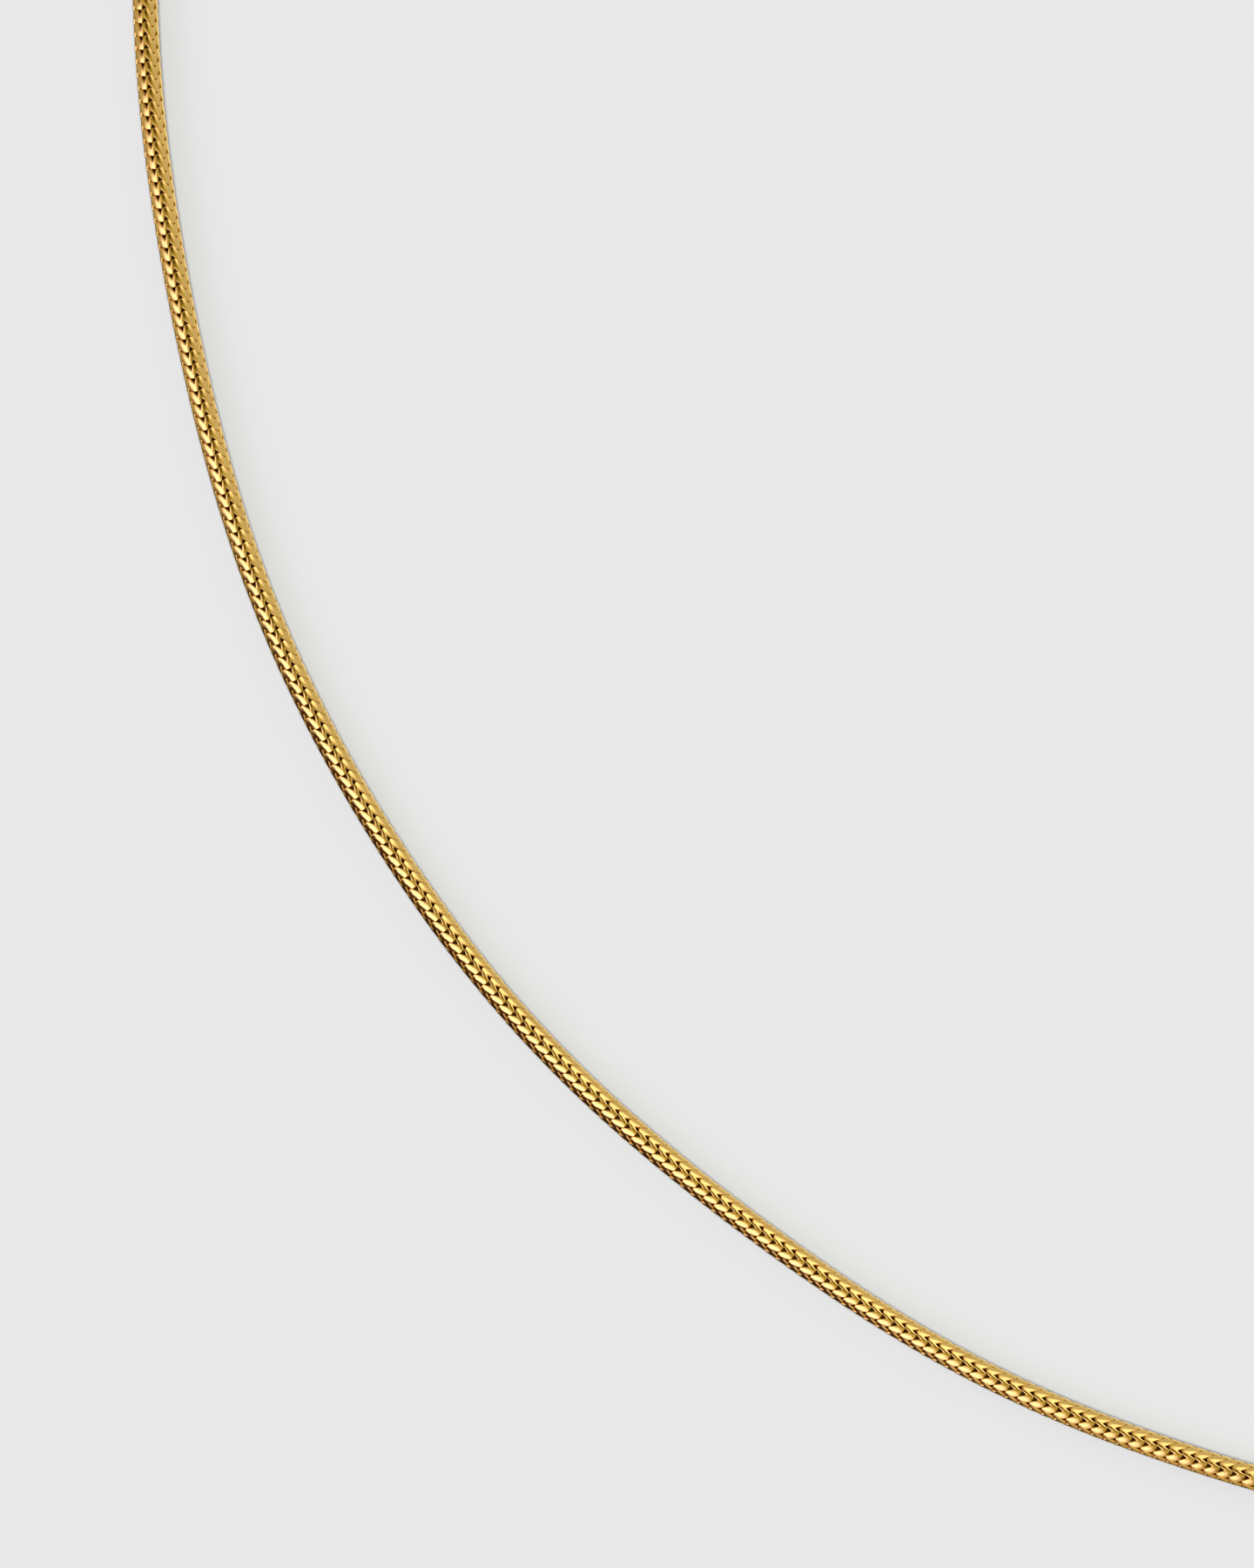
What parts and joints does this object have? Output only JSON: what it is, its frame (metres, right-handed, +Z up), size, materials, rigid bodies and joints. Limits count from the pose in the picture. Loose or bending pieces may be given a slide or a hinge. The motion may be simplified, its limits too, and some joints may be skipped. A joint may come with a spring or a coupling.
{
  "type": "snake chain necklace",
  "caption": "Fine round snake chain in gold tone, a closed necklace lying in a wide oval, with crimped end caps, a jump ring and a plain spring ring clasp.",
  "frame": {"origin": "on the surface that the necklace lies on, under the middle of its box", "axes": "+Z up from the surface, +Y from the bottom of the loop to the clasp, +X along the wider way of the loop"},
  "size_m": [0.1462, 0.1354, 0.002],
  "materials": {
    "chain_gold": "polished gold plate on small pressed links",
    "fitting_gold": "polished gold plate"
  },
  "bodies": {
    "root": {"chain": "chain_gold", "end_cap_left": "fitting_gold", "end_cap_right": "fitting_gold", "jump_ring": "fitting_gold", "clasp": "fitting_gold"}
  },
  "joints": []
}
